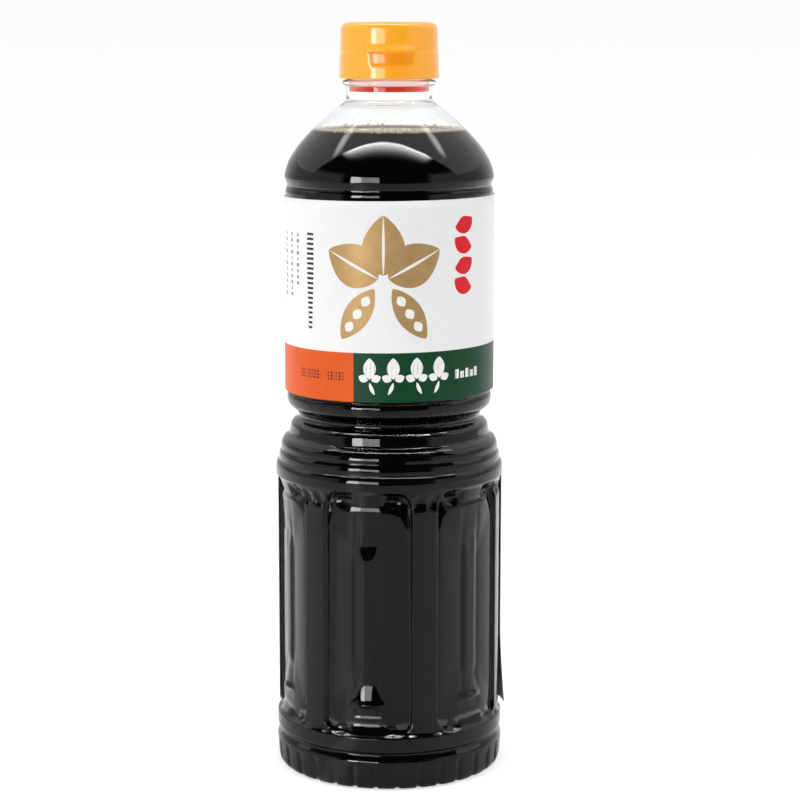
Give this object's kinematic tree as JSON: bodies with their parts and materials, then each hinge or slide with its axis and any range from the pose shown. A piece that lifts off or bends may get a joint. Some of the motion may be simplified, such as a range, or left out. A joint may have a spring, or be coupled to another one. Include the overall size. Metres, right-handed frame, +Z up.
{
  "type": "soy sauce bottle",
  "caption": "Clear plastic bottle full of dark soy sauce, with a stepped waist, a fluted grip, a notched foot, a printed sleeve and a shut flip-top cap.",
  "frame": {"origin": "centre of the bounding box, at the plane that the bottle stands on", "axes": "+Z up along the bottle's axis; the front of the label and the thumb tab face -Y. The axis stands at x = -0.0007 m, because a lifted label corner widens the box to +X."},
  "size_m": [0.0834, 0.082, 0.267],
  "materials": {
    "clear_pet": "clear, glossy",
    "soy_sauce_liquid": "dark liquid, glossy",
    "yellow_cap": "semi-gloss",
    "red_plug": "semi-gloss",
    "printed_film": "printed film, satin",
    "back_paper": "printed film, satin"
  },
  "bodies": {
    "root": {"bottle": "clear_pet", "soy_sauce": "soy_sauce_liquid", "cap": "yellow_cap", "pour_plug": "red_plug", "front_label": "printed_film", "back_label": "back_paper"}
  },
  "joints": []
}
